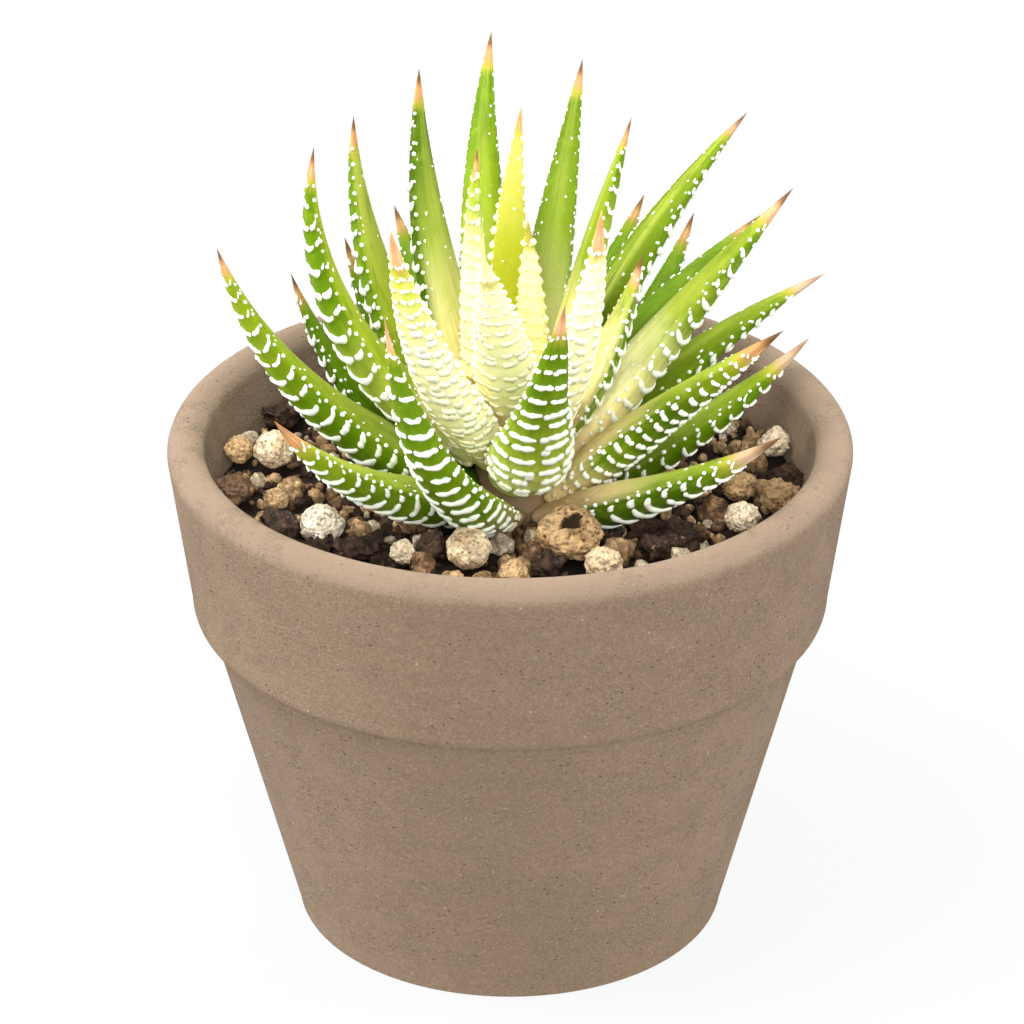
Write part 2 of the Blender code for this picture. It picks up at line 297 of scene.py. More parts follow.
def curve(start, pull_start, pull_end, end, count):
    """Points after the start of a cubic curve, the end among them."""
    points = []
    for i in range(1, count + 1):
        t = i / count
        u = 1 - t
        weights = (u**3, 3 * u * u * t, 3 * u * t * t, t**3)
        corners = (start, pull_start, pull_end, end)
        points.append(tuple(sum(w * c[axis] for w, c in zip(weights, corners)) for axis in (0, 1)))
    return points


def spun(profile, steps):
    """A profile of (radius, height) points turned once round the Z axis."""
    bm = bmesh.new()
    corners = [bm.verts.new((radius, 0, height)) for radius, height in profile]
    rims = [bm.edges.new(pair) for pair in zip(corners, corners[1:])]
    bmesh.ops.spin(
        bm, geom=corners + rims, cent=(0, 0, 0), axis=(0, 0, 1), angle=math.tau, steps=steps, use_merge=True
    )
    bmesh.ops.remove_doubles(bm, verts=bm.verts, dist=WELD)
    bmesh.ops.recalc_face_normals(bm, faces=bm.faces)
    return bm


def pot_inner_radius(height):
    """The inner wall is one straight taper from the floor up to the rounded lip."""
    low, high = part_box("pot")
    share = (height - POT_FLOOR) / (high.z - RIM_THICKNESS / 2 - POT_FLOOR)
    return POT_FLOOR_RADIUS + (high.x - RIM_THICKNESS - POT_FLOOR_RADIUS) * share


def pot_profile():
    low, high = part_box("pot")
    lip = RIM_THICKNESS / 2
    profile = []
    for i in range(LIP_STEPS + 1):
        angle = math.pi * i / LIP_STEPS
        profile.append((high.x - lip - lip * math.cos(angle), high.z - lip + lip * math.sin(angle)))
    shoulder = (SHOULDER_RADIUS, SHOULDER_HEIGHT)
    crease = (CREASE_RADIUS, CREASE_HEIGHT)
    drop = SHOULDER_FULLNESS * (SHOULDER_HEIGHT - CREASE_HEIGHT)
    spread = SHOULDER_FULLNESS * (SHOULDER_RADIUS - CREASE_RADIUS)
    below = (SHOULDER_RADIUS, SHOULDER_HEIGHT - drop)
    beside = (CREASE_RADIUS + spread, CREASE_HEIGHT)
    profile += curve(profile[-1], profile[-1], shoulder, shoulder, 6)
    profile += curve(shoulder, below, beside, crease, 12)
    wall_foot = (BASE_RADIUS, BASE_ROUNDING_HEIGHT)
    foot_corner = (BASE_RADIUS, 0)
    foot_edge = (BASE_RADIUS - BASE_ROUNDING, 0)
    profile += curve(crease, crease, wall_foot, wall_foot, 8)
    profile += curve(wall_foot, foot_corner, foot_corner, foot_edge, 6)
    profile += [(DRAIN_RADIUS, 0), (DRAIN_RADIUS, POT_FLOOR)]
    floor_edge = (POT_FLOOR_RADIUS - POT_FLOOR_CORNER, POT_FLOOR)
    wall_start = (pot_inner_radius(POT_FLOOR + POT_FLOOR_CORNER), POT_FLOOR + POT_FLOOR_CORNER)
    profile.append(floor_edge)
    profile += curve(floor_edge, (POT_FLOOR_RADIUS, POT_FLOOR), wall_start, wall_start, 4)
    profile += curve(wall_start, wall_start, profile[0], profile[0], 6)
    return profile


def stoneware():
    material, shader, here = new_finish("stoneware", 0.85, Specular_IOR_Level=0.15, Diffuse_Roughness=0.8)
    clouds = here.scaled((1, 1, 1.8)).cloud(45, 5, 0.65).step(0.3, 0.7)
    turning = here.scaled((1, 1, 12)).cloud(60, 3, 0.7).step(0.35, 0.75)
    sand = here.cloud(2600, 2, 0.6)
    wander = here.scaled((1, 1, 1.5)).cloud(800, 3, 0.6) - 0.5
    threads = (wander * wander).step(0.002, 0.0002) * here.cloud(160, 3, 0.6).step(0.46, 0.62)
    pits = here.scaled((1, 1, 1.6)).cells(800).step(0.2, 0.09) * here.cloud(240, 3).step(0.5, 0.6)
    flecks = here.scaled((1.1, 1, 0.7)).cells(640).step(0.15, 0.06) * here.cloud(200, 3).step(0.54, 0.62)
    height = here.height()
    # Where the painted shade of the crease lies: a thin band round the crease.
    crease = height.step(CREASE_HEIGHT - CREASE_SHADE_WIDTH, CREASE_HEIGHT)
    crease *= height.step(CREASE_HEIGHT + 2 * CREASE_SHADE_WIDTH, CREASE_HEIGHT)
    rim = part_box("pot")[1].z
    body = coated(
        CLAY,
        (clouds * 0.5 + turning * 0.3, CLAY_DARK),
        (sand.step(0.5, 0.72) * 0.55, CLAY_PALE),
        (sand.step(0.48, 0.3) * 0.5, CLAY_SAND),
        (threads * 0.6, CLAY_PALE),
        (pits * 0.75, CLAY_PIT),
        (flecks * 0.6, CLAY_FLECK),
        # painted shade in the crease
        (crease * 0.15, CLAY_CREASE_SHADE),
        # painted light on the top of the lip, with some wear
        (height.step(rim - LIP_LIGHT_AND_WEAR, rim - LIP_LIGHT_AND_WEAR / 3) * 0.7, CLAY_PALE),
    )
    dress(shader, body, sand * 0.9 + threads * 0.7 + turning * 0.3 - pits * 0.9, 1.0, 0.25 * MM)
    return material


profile = pot_profile()
pot = new_piece("stoneware_pot", spun(profile + profile[:1], POT_STEPS), stoneware())
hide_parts("pot")


# Potting mix: a dark, loose bed of composted bark and grit that fills the pot to below its lip, lower
# in the middle where the rosette sits. The bed is lumpy on top, and loose grit covers it. Its near-black
# colour is partly the compost's own and partly painted shade for the deep gaps between the grains.
MIX_GAP = 0.3 * MM
BED_DROP = 0.9 * MM
BED_LUMPS = 0.8 * MM
DIP_RADIUS = 21 * MM
DIP_DEPTH = 4.2 * MM
BED_LUMP_SIZE = 2.5 * MM
BED_RINGS = 60
BED_STEPS = 144
mix_low, mix_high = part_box("potting_mix")
MIX_RADIUS = pot_inner_radius(mix_high.z) - MIX_GAP


def bed_height(x, y):
    """Height of the bed: level near the wall, dipping smoothly towards the stem."""
    share = max(0, 1 - math.hypot(x, y) / DIP_RADIUS)
    dip = DIP_DEPTH * share * share * (3 - 2 * share)
    lumps = BED_LUMPS * noise.fractal(Vector((x, y, 0)) / BED_LUMP_SIZE, 1, 2, 3)
    return mix_high.z - BED_DROP - dip + lumps


def mix_bed():
    corner = POT_FLOOR_CORNER + 2 * MIX_GAP
    wall_low = (pot_inner_radius(POT_FLOOR + corner) - MIX_GAP, POT_FLOOR + corner)
    edge = MIX_RADIUS - MIX_GAP
    profile = [(edge * i / BED_RINGS, mix_high.z) for i in range(BED_RINGS + 1)]
    profile += [(MIX_RADIUS - BED_DROP, mix_high.z - 2 * BED_DROP), wall_low]
    profile += [(POT_FLOOR_RADIUS - corner, mix_low.z), (0, mix_low.z)]
    bm = spun(profile, BED_STEPS)
    for vertex in bm.verts:
        if vertex.co.z > mix_high.z - MIX_GAP:
            vertex.co.z = bed_height(vertex.co.x, vertex.co.y)
    return bm


def compost_and_gap_shade():
    material, shader, here = new_finish("compost_and_gap_shade", 0.95, Specular_IOR_Level=0.1)
    # Near-black browns: the compost's own colour, darkened further as painted shade for the gaps between
    # grains.
    body = here.cloud(700, 4, 0.7).between((0.008, 0.005, 0.004), (0.05, 0.03, 0.02))
    body = here.cells(500).step(0.1, 0.5).between(body, (0.018, 0.011, 0.008))
    dress(shader, body, here.cloud(1600, 4, 0.7), 0.8, 0.4 * MM)
    return material


bed = new_piece("mix_bed", mix_bed(), compost_and_gap_shade())
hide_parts("potting_mix")


# Loose grit: grains of fired clay, pumice and brown gravel and crumbs of bark, from under a millimetre
# to over five millimetres across, packed on the bed between the larger stones. The bigger grains that
# lie loose in front, given as (x, y, radius) in millimetres, are set down first.
stones_and_bark = [n for n in sorted(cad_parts) if n.startswith(("pumice", "bark"))]
taken = []
for node in stones_and_bark:
    low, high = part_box(node)
    middle = (low + high) / 2
    taken.append((middle.x, middle.y, (high.x - low.x + high.y - low.y) / 4))
GRIT = {
    "golden_grit": dict(
        counts=(34, 130, 150), edge=0.3, broken=False, colours=((0.54, 0.36, 0.19), (0.36, 0.22, 0.10)),
        placed=(
            (-8.3, -30.2, 2.1), (-4, -29.7, 1.8), (15.4, -21.6, 2.3), (-21.9, -14.4, 2), (-30.5, -13, 1.7)
        ),
    ),
    "cream_grit": dict(
        counts=(16, 70, 110), edge=0.28, broken=False, colours=((0.66, 0.54, 0.38), (0.46, 0.34, 0.21)),
        placed=((-38.9, 14.2, 1.8), (-36.2, 14.6, 1.7), (24.3, -23.8, 1.7), (-37, 2, 1.6), (6.4, -20.5, 1.5)),
    ),
    "brown_grit": dict(
        counts=(34, 120, 110), edge=0.35, broken=False, colours=((0.27, 0.155, 0.08), (0.11, 0.06, 0.032)),
        placed=((29.7, -8.1, 2.2), (-12.5, -25, 1.9), (3.2, -23, 1.9), (36.5, 6.5, 2.2)),
    ),
    "bark_crumbs": dict(
        counts=(90, 210, 190), edge=0.55, broken=True, colours=((0.06, 0.033, 0.021), (0.014, 0.008, 0.006)),
        placed=(
            (24.3, -18.4, 2.8), (19.4, -13.1, 2.6), (41.1, 2.1, 2.4), (-27.5, -19.5, 2.5), (-17, -22.5, 2.4)
        ),
    ),
}
GRIT_SIZES = ((1.4 * MM, 2.2 * MM), (0.75 * MM, 1.35 * MM), (0.35 * MM, 0.7 * MM))
GRIT_TRIES = 8
GRIT_CLOSENESS = 0.8
GRIT_BURIAL = (0.25, 0.7)
JAGGED = 0.6
KNOBBLY = -0.14
BROKEN_EDGE = math.radians(32)


def add_copy(bm, shape):
    """Adds a copy of a blank to a piece that nothing was deleted from, and returns its vertices."""
    count = len(bm.verts)
    bm.from_mesh(shape)
    bm.verts.ensure_lookup_table()
    return bm.verts[count:]


def pebble_blank(subdivisions):
    bm = bmesh.new()
    bmesh.ops.create_icosphere(bm, subdivisions=subdivisions, radius=1)
    return finished_mesh(bm, "pebble_blank")


def shard_blank():
    """A block with its corners half rounded off."""
    bm = bmesh.new()
    bmesh.ops.create_cube(bm, size=1.5)
    bmesh.ops.subdivide_edges(bm, edges=bm.edges, cuts=2, use_grid_fill=True)
    for vertex in bm.verts:
        vertex.co = vertex.co.lerp(vertex.co.normalized(), 0.45)
    return finished_mesh(bm, "shard_blank")


def knobs(place):
    """0 at the middle of each knob of a crumbly surface, and up to about 1 in the cracks between them."""
    return noise.voronoi(place)[0][0] * 1.6


def any_seed(chance):
    return Vector(chance.uniform(0, 50) for _ in range(3))


def any_direction(chance):
    return Vector(chance.gauss(0, 1) for _ in range(3)).normalized()


def grain(bm, shape, chance, place, radius, kind, layers):
    """One grain: knobbly and worn, or jagged where its kind is broken."""
    made = add_copy(bm, shape)
    seed = any_seed(chance)
    tint, edge = chance.random(), kind["edge"]
    for vertex in made:
        lumps = noise.noise(vertex.co * 1.1 + seed) * 1.4 + noise.noise(vertex.co * 2.6 + seed) * 0.6
        crack = knobs(vertex.co * 1.9 + seed)
        vertex[layers[0]] = tint
        # The second layer marks the dents and cracks of the grain, which the finish darkens as painted shade.
        vertex[layers[1]] = max(0, 1 - 2 * crack if kind["broken"] else 2 * crack - 1.1)
        vertex.co *= radius * (1 + edge * lumps + (crack - 0.5) * (JAGGED if kind["broken"] else KNOBBLY))
    stretch = [chance.uniform(1 - edge * 0.6, 1 + edge * 0.6) for _ in range(3)]
    turn = Matrix.Rotation(chance.uniform(0, math.tau), 4, any_direction(chance))
    matrix = Matrix.Translation(place) @ turn @ Matrix.Diagonal((*stretch, 1))
    bmesh.ops.transform(bm, matrix=matrix, verts=made)


def grit_finish(name, colours, edge):
    material, shader, here = new_finish(name, 0.92, Specular_IOR_Level=0.15)
    body = coated(
        here.layer("tint").between(*colours),
        (here.cloud(700, 3, 0.65).step(0.45, 0.7), shade(colours[0], 1.6)),
        (here.cloud(1500, 4, 0.75).step(0.5, 0.66), shade(colours[1], 0.35)),
        # painted shade in the grain's dents and cracks
        (here.layer("hollow_shade").step(0.05, 0.9) * 0.6, shade(colours[1], 0.3)),
    )
    dress(shader, body, here.cloud(1800, 4, 0.75), 0.7 + edge, 0.25 * MM)
    return material


def clear_of_others(x, y, radius):
    return all(math.hypot(x - a, y - b) > GRIT_CLOSENESS * (radius + r) for a, b, r in taken)


def scattered(chance, counts):
    """Free places on the bed for each size of grain, found by trial."""
    for count, sizes in zip(counts, GRIT_SIZES):
        found = 0
        for _ in range(count * GRIT_TRIES):
            radius = chance.uniform(*sizes)
            distance = (MIX_RADIUS - radius) * math.sqrt(chance.uniform(0.02, 1))
            angle = chance.uniform(0, math.tau)
            x, y = distance * math.cos(angle), distance * math.sin(angle)
            if found < count and clear_of_others(x, y, radius):
                taken.append((x, y, radius))
                found += 1
                yield x, y, radius


pebble, coarse_pebble, shard = pebble_blank(3), pebble_blank(2), shard_blank()
for kind in GRIT.values():
    kind["placed"] = [tuple(c * MM for c in place) for place in kind["placed"]]
    taken += kind["placed"]
for name, kind in GRIT.items():
    chance = random.Random(name)
    bm = bmesh.new()
    layers = [bm.verts.layers.float.new(layer) for layer in ("tint", "hollow_shade")]
    for x, y, radius in kind["placed"] + list(scattered(chance, kind["counts"])):
        shape = shard if kind["broken"] else pebble if radius > GRIT_SIZES[0][0] else coarse_pebble
        place = Vector((x, y, bed_height(x, y) + radius * chance.uniform(*GRIT_BURIAL)))
        grain(bm, shape, chance, place, radius, kind, layers)
    piece = new_piece(name, bm, grit_finish(name, kind["colours"], kind["edge"]))
    if kind["broken"]:
        piece.data.set_sharp_from_angle(angle=BROKEN_EDGE)


# Pumice stones: light porous pebbles, cream to tan, rubbed round or broken, and full of small open
# bubbles. They lie loose on the mix.
STONE_TAN = (0.46, 0.30, 0.155)
STONE_BEIGE = (0.64, 0.49, 0.32)
STONE_CREAM = (0.56, 0.46, 0.32)
STONE_CHALK = (0.57, 0.49, 0.38)
STONE_OCHRE = (0.36, 0.235, 0.115)
STONE_GOLD = (0.27, 0.17, 0.085)
STONE_BROWN = (0.16, 0.10, 0.06)
ROUND = dict(
    lobes=0, facets=0, pits=90, depth=0.06, lumps=0.13, knobs=0.03, cracks=0, hole=False, detail=5,
    spread=(1, 1, 1),
)
LUMPY = dict(ROUND, lobes=4, facets=2, pits=40, lumps=0.14, knobs=0.1)
BROKEN = dict(ROUND, lobes=3, facets=7, pits=36, lumps=0.16, knobs=0.1)
STONES = (
    dict(
        ROUND, colour=STONE_OCHRE, pits=110, depth=0.1, lumps=0.2, detail=6, hole=True,
        spread=(1.2, 1.1, 0.92),
    ),
    dict(ROUND, colour=STONE_BEIGE, pits=110, detail=6),
    dict(ROUND, colour=STONE_CHALK, pits=50, cracks=7, detail=6),
    dict(ROUND, colour=STONE_BEIGE, pits=110, depth=0.08, detail=6),
    dict(LUMPY, colour=STONE_TAN),
    dict(BROKEN, colour=STONE_BROWN),
    dict(LUMPY, colour=STONE_TAN),
    dict(BROKEN, colour=STONE_CREAM, pits=80),
    dict(BROKEN, colour=STONE_GOLD, lumps=0.22),
    dict(BROKEN, colour=STONE_OCHRE),
    dict(LUMPY, colour=STONE_CREAM),
    dict(BROKEN, colour=STONE_BEIGE),
    dict(LUMPY, colour=STONE_CREAM),
    dict(LUMPY, colour=STONE_TAN),
    dict(ROUND, colour=STONE_BEIGE),
    dict(LUMPY, colour=STONE_TAN),
    dict(ROUND, colour=STONE_BEIGE),
    dict(BROKEN, colour=STONE_BROWN),
)
FIRST_BALL = 0.8
LOBE_PLACES = (0.3, 0.5)
LOBE_SIZES = (0.45, 0.62)
BREAK_DEPTHS = (0.7, 0.85)
BUBBLE_SIZES = (0.03, 0.1)
BUBBLE_SHADE = 0.55
CRACK_PLACES = (-0.4, 0.4)
CRACK_WIDTH = 0.022
CRACK_WANDER = 0.12
HOLE_PLACE = Vector((0.05, -0.45, 0.89))
HOLE_REACH = 0.36
HOLE_DEPTH = 0.32
KNOBS_ROUND = 4.5


def pumice(name, colour):
    material, shader, here = new_finish(name, 0.92, Specular_IOR_Level=0.12)
    # Painted shade: the layer read below holds how deep each place lies in an opened bubble, a crack or the
    # hole.
    hole_shade = here.layer("hole_shade")
    pores = here.cells(950).step(0.26, 0.1) * here.cloud(420, 2).step(0.45, 0.6)
    # A warm dark brown: painted shade in the hollows, bubbles and cracks, and, made paler, the colour of the
    # stains.
    stain_and_shade_brown = (colour[0] * 0.5, colour[1] * 0.4, colour[2] * 0.28)
    body = coated(
        colour,
        (here.cloud(330, 4, 0.65).step(0.38, 0.66), tuple(min(0.9, c * 1.55) for c in colour)),
        (here.cloud(210, 4, 0.7).step(0.5, 0.66) * 0.65, shade(stain_and_shade_brown, 1.5)),
        (here.cloud(1150, 4, 0.75).step(0.48, 0.62) * 0.8, shade(colour, 0.34)),
        (pores * 0.8, shade(colour, 0.3)),
        # painted shade in the cracks between the knobs
        (here.layer("hollow_shade").step(0.1, 0.9) * 0.6, stain_and_shade_brown),
        # painted shade in the opened bubbles and cracks, near black deep in them and in the hole
        (hole_shade.step(0.05, 0.5), shade(stain_and_shade_brown, 0.7)),
        (hole_shade.step(0.65, 0.95), shade(colour, 0.08)),
    )
    dress(shader, body, here.cloud(1500, 4, 0.75) * 0.7 - pores, 0.9, 0.3 * MM)
    return material


def worn_stone(node, look):
    """Balls grown into one another and worn, with flat breaks, cracks and opened bubbles, set to the node's
    box, or a little spread from it."""
    chance = random.Random(node)
    balls = [(Vector(), FIRST_BALL)]
    for _ in range(look["lobes"]):
        balls.append((any_direction(chance) * chance.uniform(*LOBE_PLACES), chance.uniform(*LOBE_SIZES)))
    breaks = [(any_direction(chance), chance.uniform(*BREAK_DEPTHS)) for _ in range(look["facets"])]
    bubbles = np.array([any_direction(chance) for _ in range(look["pits"])])
    reaches = np.array([chance.uniform(*BUBBLE_SIZES) for _ in range(look["pits"])])
    cracks = [(any_direction(chance), chance.uniform(*CRACK_PLACES)) for _ in range(look["cracks"])]
    seed = any_seed(chance)
    bm = bmesh.new()
    bmesh.ops.create_icosphere(bm, subdivisions=look["detail"], radius=1)
    hole_shade_layer = bm.verts.layers.float.new("hole_shade")
    hollow_shade_layer = bm.verts.layers.float.new("hollow_shade")
    for vertex in bm.verts:
        out = vertex.co.normalized()
        reach = 0
        for centre, radius in balls:
            ahead = out.dot(centre)
            inside = radius * radius - centre.length_squared + ahead * ahead
            if inside > 0:
                reach = max(reach, ahead + math.sqrt(inside))
        for normal, limit in breaks:
            if reach * out.dot(normal) > limit:
                reach = limit / out.dot(normal)
        shares = np.linalg.norm(bubbles - np.array(out), axis=1) / reaches
        depth = float(np.max(np.clip(1 - shares * shares, 0, 1))) * BUBBLE_SHADE
        wander = noise.noise(out * 4 + seed)
        for normal, offset in cracks:
            off = abs(out.dot(normal) - offset + wander * CRACK_WANDER) / CRACK_WIDTH
            if off < 1 and noise.noise(out * 2 + normal * 9) > 0.02:
                depth = max(depth, 1 - off)
        sunk = depth * look["depth"]
        if look["hole"]:
            off = (out - HOLE_PLACE).length / (HOLE_REACH * (1 + 0.7 * noise.noise(out * 5 + seed)))
            if off < 1:
                depth = 1
                sunk = HOLE_DEPTH * min(1, (1 - off) * 3)
        crack = knobs(out * KNOBS_ROUND + seed)
        lumps = look["lumps"] * (noise.fractal(out * 1.7 + seed, 1, 2, 5) - 0.2) - look["knobs"] * crack
        # Both layers hold painted shade: the depth of bubbles, cracks and the hole, and the cracks between
        # knobs.
        vertex[hole_shade_layer] = depth
        vertex[hollow_shade_layer] = max(0, crack - 0.8 + noise.noise(out * 9 + seed)) * min(1, look["knobs"] * 10)
        vertex.co = out * (reach * (1 + lumps) - sunk)
    low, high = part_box(node)
    corners = np.array([vertex.co for vertex in bm.verts])
    first, last = corners.min(axis=0), corners.max(axis=0)
    size = np.array(high - low) * look["spread"]
    middle = np.array((low + high) / 2)
    middle[2] = low.z + size[2] / 2
    for vertex, corner in zip(bm.verts, middle + size * ((corners - first) / (last - first) - 0.5)):
        vertex.co = corner
    return bm


for number, look in enumerate(STONES, 1):
    node = f"pumice_stone_{number:02}"
    stone = new_piece(f"{node}_body", worn_stone(node, look), pumice(f"{node}_skin", look["colour"]))
    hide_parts(node)


# Bark chips: broken pieces of composted bark, dark brown to black, with a stringy grain and crumbly
# ends. They lie loose among the stones.
BARK_RELIEF = 1.1 * MM
BARK_FIBRE = 0.9 * MM
BARK_CUTS = 7


def bark():
    material, shader, here = new_finish("bark", 0.8, Specular_IOR_Level=0.15)
    fibres = here.scaled((1, 0.35, 1)).cloud(900, 4, 0.75)
    body = fibres.step(0.35, 0.7).between((0.012, 0.008, 0.006), (0.085, 0.046, 0.029))
    body = (here.cloud(1500, 2).step(0.66, 0.72) * 0.7).between(body, (0.34, 0.25, 0.19))
    dress(shader, body, fibres, 1.0, 0.4 * MM)
    return material


bark_finish = bark()
for node in stones_and_bark:
    if node.startswith("bark"):
        bm = bmesh.new()
        bm.from_mesh(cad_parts[node].data)
        bmesh.ops.remove_doubles(bm, verts=bm.verts, dist=WELD)
        bmesh.ops.subdivide_edges(bm, edges=bm.edges, cuts=BARK_CUTS, use_grid_fill=True)
        bmesh.ops.smooth_vert(
            bm, verts=bm.verts, factor=0.5, use_axis_x=True, use_axis_y=True, use_axis_z=True
        )
        bm.normal_update()
        for vertex in bm.verts:
            fibre = Vector((vertex.co.x, vertex.co.y * 0.4, vertex.co.z)) / BARK_FIBRE
            push = noise.fractal(fibre, 0.8, 2, 4) * 0.5 + knobs(fibre * 0.45) - 0.9
            vertex.co += vertex.normal * BARK_RELIEF * push
        chip = new_piece(f"{node}_body", bm, bark_finish)
        chip.data.set_sharp_from_angle(angle=BROKEN_EDGE)
        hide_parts(node)


# Stem: the short pale stem and root crown that every leaf grows from, hidden by the leaves' feet. Only
# its rounded top shows, from above, pale green where the next leaf starts.
STEM_HEART = 3 * MM


def stem_skin():
    material, shader, here = new_finish("stem_skin", 0.6)
    # A brown body: partly the stem's own colour and partly painted shade under the leaves' feet.
    body = here.cloud(300, 3).between((0.25, 0.16, 0.085), (0.44, 0.30, 0.17))
    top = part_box("stem")[1].z
    body = here.height().step(top - STEM_HEART, top - STEM_HEART / 3).between(body, (0.62, 0.62, 0.20))
    dress(shader, body, here.scaled((1, 1, 4)).cloud(400, 3), 0.4, 0.2 * MM)
    return material


stem_finish = stem_skin()
stem_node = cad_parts["stem"]
for slot in stem_node.material_slots:
    slot.material = stem_finish


# Leaves: thick, tapering and nearly flat above, keeled below. Each is one grown piece whose skin carries
# raised white tubercles: rows across its back, teeth along its margins, and a dry point at its tip.
FACE_FULLNESS = 1.25
KEEL_FULLNESS = 1.05
FOOT_BREADTH = 0.95
FOOT_DEPTH = 0.6
FOOT_SHARE = 0.3
FOOT_REACH = 4 * MM
FOOT_SHRINK = 0.8
SECTIONS = 9
ROLL_SECTION = 4
LEAF_WELD = 0.002 * MM
WAIST_START = 0.15
WAIST_RUN = 0.4
BELLY_PLACE = 0.16
BELLY_RUN = 0.14
ALONG_STEPS = 110
AROUND_STEPS = 36
NUDGE = 0.004
FACE_PLACE = 0.25
KEEL_PLACE = 0.75
QUARTER_TURN = 0.25
stem_low, stem_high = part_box("stem")
root_tip = Vector(((stem_low.x + stem_high.x) / 2, 0, stem_low.z))


def smooth_run(places, knots, values):
    """Values at places between knots, on a curve through every knot."""
    slopes = np.gradient(values, knots, axis=0)
    index = np.clip(np.searchsorted(knots, places, side="right") - 1, 0, len(knots) - 2)
    gap = (knots[index + 1] - knots[index])[:, None]
    t = np.clip((places - knots[index])[:, None] / gap, 0, 1)
    first, second = values[index], values[index + 1]
    rise, fall = slopes[index] * gap, slopes[index + 1] * gap
    ease = t * t * (3 - 2 * t)
    return first + (second - first) * ease + t * (1 - t) * ((1 - t) * rise - t * fall)


class Leaf:
    """The run of a leaf's middle, margins, keel and face, read off the sections of its solid."""

    def __init__(self, node, look):
        self.look = look
        bm = bmesh.new()
        bm.from_mesh(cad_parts[node].data)
        bmesh.ops.remove_doubles(bm, verts=bm.verts, dist=LEAF_WELD)
        tip = max(bm.verts, key=lambda v: (v.co - root_tip).length)
        sections = [(tip.co.copy(), Vector(), Vector(), Vector())]
        ring, seen = {tip}, {tip}
        while len(sections) <= SECTIONS:
            ring = {edge.other_vert(vertex) for vertex in ring for edge in vertex.link_edges} - seen
            seen |= ring
            sections.append(self.section([vertex.co.copy() for vertex in ring], sections[-1][0]))
        bm.free()
        middle, *sides = sections[-1]
        inward = (middle - sections[-2][0]).normalized() * FOOT_REACH
        sections.append((middle + inward, *(side * FOOT_SHRINK for side in sides)))
        length_axis = sections[0][0] - sections[ROLL_SECTION][0]
        turn = Matrix.Rotation(math.radians(look["roll"]), 3, length_axis)
        sections = [(middle, *(turn @ side for side in sides)) for middle, *sides in reversed(sections)]
        self.runs = [np.array([section[i] for section in sections]) for i in range(4)]
        steps = np.linalg.norm(np.diff(self.runs[0], axis=0), axis=1)
        self.length = float(steps.sum())
        self.knots = np.concatenate(([0], np.cumsum(steps))) / self.length

    def section(self, points, beyond):
        """Middle, half width, face and keel of a ring of points, with the right margin first."""
        pairs = [(a, b) for a in points for b in points]
        right, left = max(pairs, key=lambda pair: (pair[0] - pair[1]).length)
        middle = (right + left) / 2
        half = (right - left) / 2
        rest = [p - middle - (p - middle).project(half) for p in points]
        keel = max(rest, key=lambda r: r.length)
        face = max(rest, key=lambda r: -r.dot(keel))
        if (beyond - middle).cross(half).dot(keel) > 0:
            half = -half
        return middle, half, face, keel

    def surface(self, along, around):
        """Points on the skin: along from foot to tip, and around in turns, from the right margin over the
        face to the left margin and back under the keel."""
        middle, half, face, keel = (smooth_run(along, self.knots, run) for run in self.runs)
        foot = np.clip(1 - along / FOOT_SHARE, 0, 1)[:, None] ** 2
        turn = math.tau * around[:, None]
        above = np.maximum(np.sin(turn), 0) ** FACE_FULLNESS
        below = np.maximum(-np.sin(turn), 0) ** KEEL_FULLNESS
        start, pinch = self.look["needle"]
        slim = 1 - pinch * np.clip((along - start) / (1 - start), 0, 1)[:, None] ** 0.7
        slim -= self.look["waist"] * np.clip((along - WAIST_START) / WAIST_RUN, 0, 1)[:, None]
        belly = 1 + self.look["belly"] * np.exp(-(((along - BELLY_PLACE) / BELLY_RUN) ** 2))[:, None]
        across = half * (1 + FOOT_BREADTH * foot) * slim * np.cos(turn)
        return middle + across + (face * above + keel * below * belly) * (1 + FOOT_DEPTH * foot) * slim

    def at(self, along, around, lift, forward=0.0, sideways=0.0):
        """Points on the leaf, raised from its skin by lift, and moved off straight forward or sideways."""
        inside = np.clip(along, NUDGE, 0.99)
        ahead = self.surface(inside + NUDGE, around) - self.surface(inside - NUDGE, around)
        beside = self.surface(inside, around + 0.01) - self.surface(inside, around - 0.01)
        points = self.surface(along, around)
        for way, reach in ((ahead, forward), (beside, sideways), (np.cross(beside, ahead), lift)):
            unit = way / np.maximum(np.linalg.norm(way, axis=1), 1e-12)[:, None]
            points = points + unit * np.reshape(reach, (-1, 1))
        return points

    def breadth(self, along):
        """Half the distance round the back, from keel to margin."""
        around = KEEL_PLACE + np.linspace(0, QUARTER_TURN, 9)
        points = self.surface(np.full(9, along), around)
        return float(np.linalg.norm(np.diff(points, axis=0), axis=1).sum())


BEIGE = (0.64, 0.45, 0.25)
PEACH = (0.93, 0.72, 0.36)
CREAM = (0.98, 0.90, 0.48)
BUTTER = (0.90, 0.79, 0.28)
PALE_LIME = (0.38, 0.43, 0.06)
LIME = (0.34, 0.36, 0.006)
FRESH = (0.20, 0.28, 0.006)
GREEN = (0.10, 0.19, 0.001)
DEEP = (0.055, 0.115, 0.001)
MOSS = (0.035, 0.07, 0.002)
TIP_YELLOW = (0.40, 0.36, 0.035)
TIP_ORANGE = (0.54, 0.25, 0.09)
TIP_PINK = (0.70, 0.34, 0.17)
TIP_PAPER = (0.50, 0.33, 0.20)
TIP_BROWN = (0.11, 0.05, 0.02)
PEARL = (0.84, 0.86, 0.80)
PEARL_CREAM = (0.96, 0.94, 0.80)
PEARL_BUTTER = (0.96, 0.93, 0.62)
PEARL_FOOT = (0.82, 0.74, 0.46)
TIP_STRAW = (0.84, 0.66, 0.42)
SKIN_FLECK = (0.62, 0.66, 0.34)
